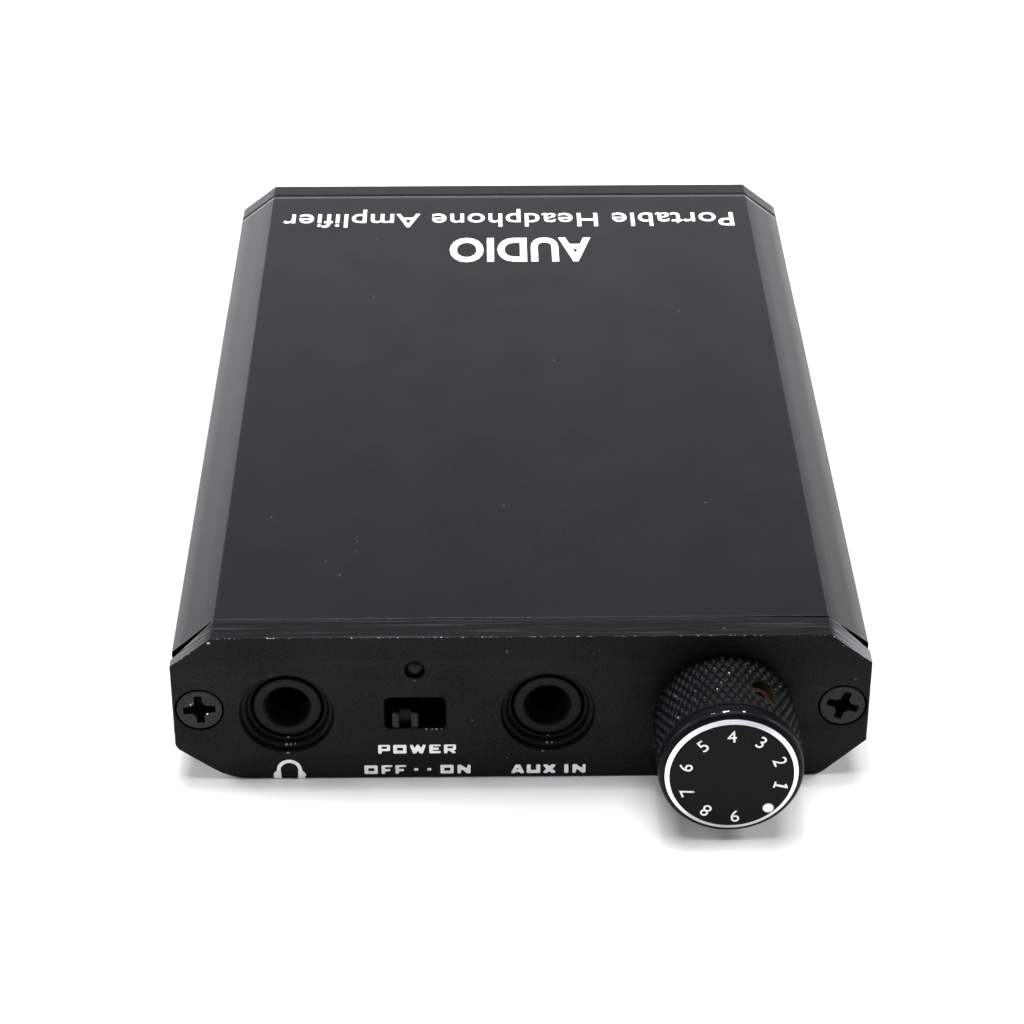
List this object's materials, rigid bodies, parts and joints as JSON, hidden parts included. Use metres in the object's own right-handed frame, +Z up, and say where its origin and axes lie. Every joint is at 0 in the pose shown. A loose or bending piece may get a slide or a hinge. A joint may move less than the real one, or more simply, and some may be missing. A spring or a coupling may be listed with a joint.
{
  "type": "headphone amplifier",
  "caption": "Flat black aluminium pocket headphone amplifier with plug sockets, a sliding power switch and a turning volume knob on its front plate, and its board and cell inside.",
  "frame": {"origin": "centre of the case's flat bottom face, on which the amplifier rests", "axes": "+Z up, -Y out of the front plate that carries the volume knob, +X to the right as the user sees the front plate"},
  "size_m": [0.065, 0.1085, 0.016],
  "materials": {
    "black_anodised_case": "satin black anodised",
    "black_anodised_knob": "black anodised with a bright cut edge",
    "black_wire": "insulated",
    "blackened_screws": "blackened",
    "board_green": "solder mask",
    "capacitor_can": "drawn can",
    "cell_foil": "laminate pouch",
    "chip_black": "moulded",
    "contact_brass": "stamped",
    "ferrite": "pressed ferrite",
    "foam": "closed-cell foam tape",
    "jack_plastic": "moulded",
    "lamp_resin": "milky clear",
    "phenolic_brown": "pressed laminate",
    "red_wire": "insulated",
    "set_screw_brass": "dull",
    "switch_plastic": "moulded",
    "tinned_metal": "tinned",
    "white_plastic": "moulded"
  },
  "bodies": {
    "case": {"amplifier_chip": "chip_black", "aux_jack_ground_collar": "tinned_metal", "aux_jack_housing": "jack_plastic", "aux_jack_ring_spring": "tinned_metal", "aux_jack_tip_spring": "tinned_metal", "battery_cell": "cell_foil", "battery_foam_pad": "foam", "battery_lead_black": "black_wire", "battery_lead_red": "red_wire", "battery_plug": "white_plastic", "battery_protection_board": "board_green", "battery_socket": "white_plastic", "case_sleeve": "black_anodised_case", "charge_lamp_anode_lead": "tinned_metal", "charge_lamp_cathode_lead": "tinned_metal", "charge_lamp_lens": "lamp_resin", "charger_chip": "chip_black", "charger_coil": "ferrite", "charging_socket_shell": "tinned_metal", "charging_socket_tongue": "switch_plastic", "circuit_board": "board_green", "front_panel": "black_anodised_case", "front_screw_left": "blackened_screws", "front_screw_right": "blackened_screws", "headphone_jack_ground_collar": "tinned_metal", "headphone_jack_housing": "jack_plastic", "headphone_jack_ring_spring": "tinned_metal", "headphone_jack_tip_spring": "tinned_metal", "left_coupling_capacitor": "white_plastic", "output_buffer_chip": "chip_black", "power_lamp_anode_lead": "tinned_metal", "power_lamp_cathode_lead": "tinned_metal", "power_lamp_lens": "lamp_resin", "power_switch_base": "phenolic_brown", "power_switch_frame": "tinned_metal", "power_switch_terminal_1": "tinned_metal", "power_switch_terminal_2": "tinned_metal", "power_switch_terminal_3": "tinned_metal", "rear_panel": "black_anodised_case", "rear_screw_left": "blackened_screws", "rear_screw_right": "blackened_screws", "right_coupling_capacitor": "white_plastic", "supply_capacitor_1": "capacitor_can", "supply_capacitor_2": "capacitor_can", "supply_capacitor_3": "capacitor_can", "supply_capacitor_4": "capacitor_can", "supply_splitter_chip": "chip_black", "volume_control_cover": "tinned_metal", "volume_control_housing": "tinned_metal", "volume_control_terminal_1": "tinned_metal", "volume_control_terminal_2": "tinned_metal", "volume_control_terminal_3": "tinned_metal", "volume_control_track": "phenolic_brown"},
    "volume": {"volume_knob": "black_anodised_knob", "knob_set_screw": "set_screw_brass", "volume_control_shaft": "tinned_metal", "volume_control_wiper": "contact_brass"},
    "slider": {"power_switch_slider": "switch_plastic", "power_switch_bridge": "contact_brass"}
  },
  "joints": [
    {"name": "volume_turn", "type": "hinge", "parent": "case", "child": "volume", "pos_m": [0.01887, -0.04925, 0.00745], "axis": [0, 1, 0], "range_deg": [-141, 159]},
    {"name": "power_slide", "type": "slide", "parent": "case", "child": "slider", "axis": [1, 0, 0], "range_m": [0, 0.002]}
  ]
}
